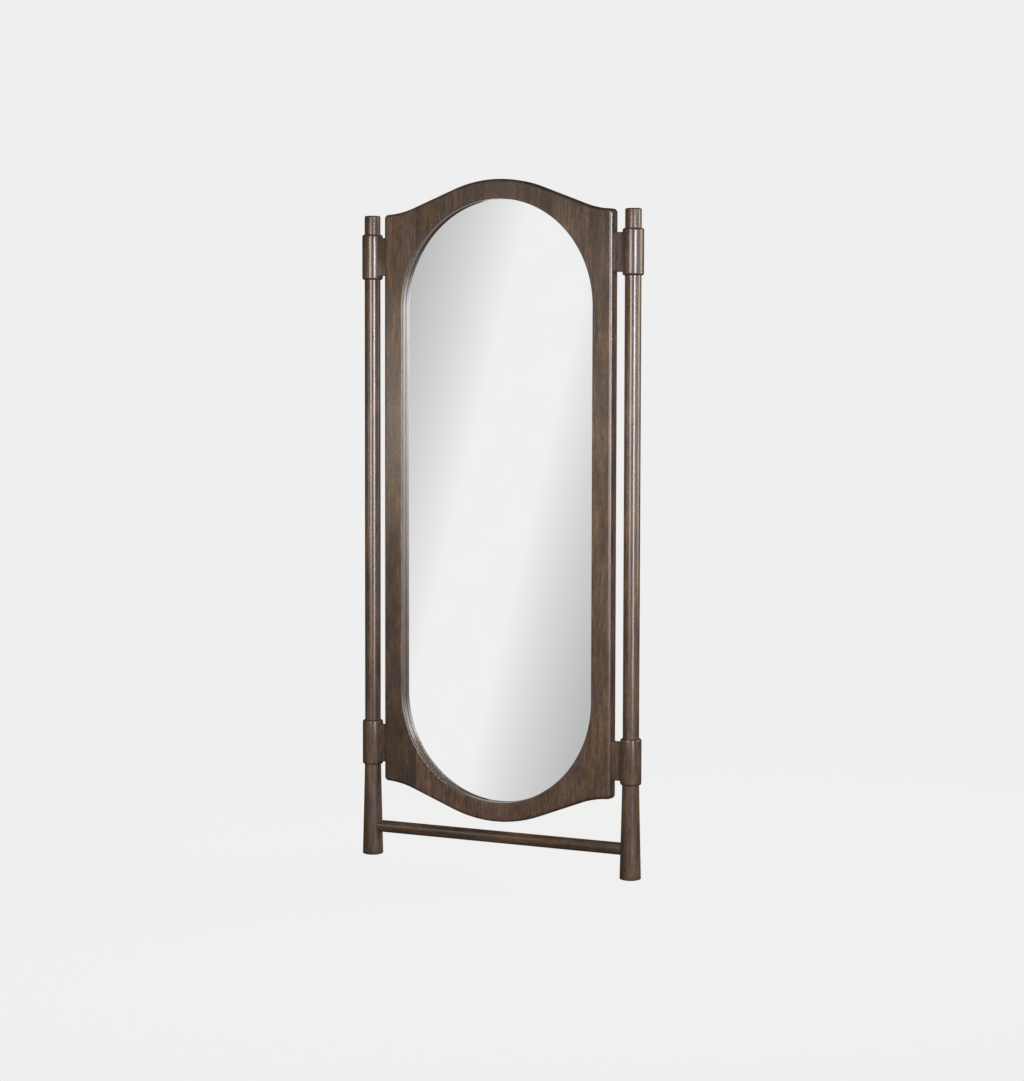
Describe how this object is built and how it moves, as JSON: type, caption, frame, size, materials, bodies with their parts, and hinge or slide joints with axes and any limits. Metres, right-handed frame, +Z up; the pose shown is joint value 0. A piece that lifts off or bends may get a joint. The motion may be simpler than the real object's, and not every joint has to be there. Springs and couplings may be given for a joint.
{
  "type": "floor mirror",
  "caption": "Tall floor mirror: a stadium-shaped glass in an ogee-topped wooden panel, gripped by collars between round posts joined by a low stretcher.",
  "frame": {"origin": "on the floor, midway between the two posts", "axes": "+Z up, +X to the viewer's right along the mirror's width, -Y towards the person looking into the mirror"},
  "size_m": [0.8842, 0.0588, 1.92],
  "materials": {
    "wood": "dark brown stained hardwood under satin lacquer",
    "mirror": "silvered plate glass, polished edge",
    "back_board": "dark fibreboard, matt",
    "steel": "zinc-plated countersunk screws",
    "dowel_wood": "plain beech dowel",
    "felt": "dark pressed felt"
  },
  "bodies": {
    "root": {"back_board": "back_board", "back_board_screw_1": "steel", "back_board_screw_2": "steel", "back_board_screw_3": "steel", "back_board_screw_4": "steel", "back_board_screw_5": "steel", "back_board_screw_6": "steel", "back_board_screw_7": "steel", "back_board_screw_8": "steel", "bottom_dowel_1": "dowel_wood", "bottom_dowel_2": "dowel_wood", "bottom_dowel_3": "dowel_wood", "bottom_dowel_4": "dowel_wood", "bottom_dowel_5": "dowel_wood", "bottom_dowel_6": "dowel_wood", "bottom_stave_1": "wood", "bottom_stave_2": "wood", "bottom_stave_3": "wood", "bottom_stave_4": "wood", "bottom_stave_5": "wood", "left_foot_pad": "felt", "left_post": "wood", "left_stile": "wood", "lower_left_block": "wood", "lower_left_block_screw_1": "steel", "lower_left_block_screw_2": "steel", "lower_left_collar": "wood", "lower_left_collar_screw": "steel", "lower_right_block": "wood", "lower_right_block_screw_1": "steel", "lower_right_block_screw_2": "steel", "lower_right_collar": "wood", "lower_right_collar_screw": "steel", "mirror_glass": "mirror", "right_foot_pad": "felt", "right_post": "wood", "right_stile": "wood", "stretcher": "wood", "top_dowel_1": "dowel_wood", "top_dowel_2": "dowel_wood", "top_dowel_3": "dowel_wood", "top_dowel_4": "dowel_wood", "top_dowel_5": "dowel_wood", "top_dowel_6": "dowel_wood", "top_stave_1": "wood", "top_stave_2": "wood", "top_stave_3": "wood", "top_stave_4": "wood", "top_stave_5": "wood", "upper_left_block": "wood", "upper_left_block_screw_1": "steel", "upper_left_block_screw_2": "steel", "upper_left_collar": "wood", "upper_left_collar_screw": "steel", "upper_right_block": "wood", "upper_right_block_screw_1": "steel", "upper_right_block_screw_2": "steel", "upper_right_collar": "wood", "upper_right_collar_screw": "steel"}
  },
  "joints": []
}
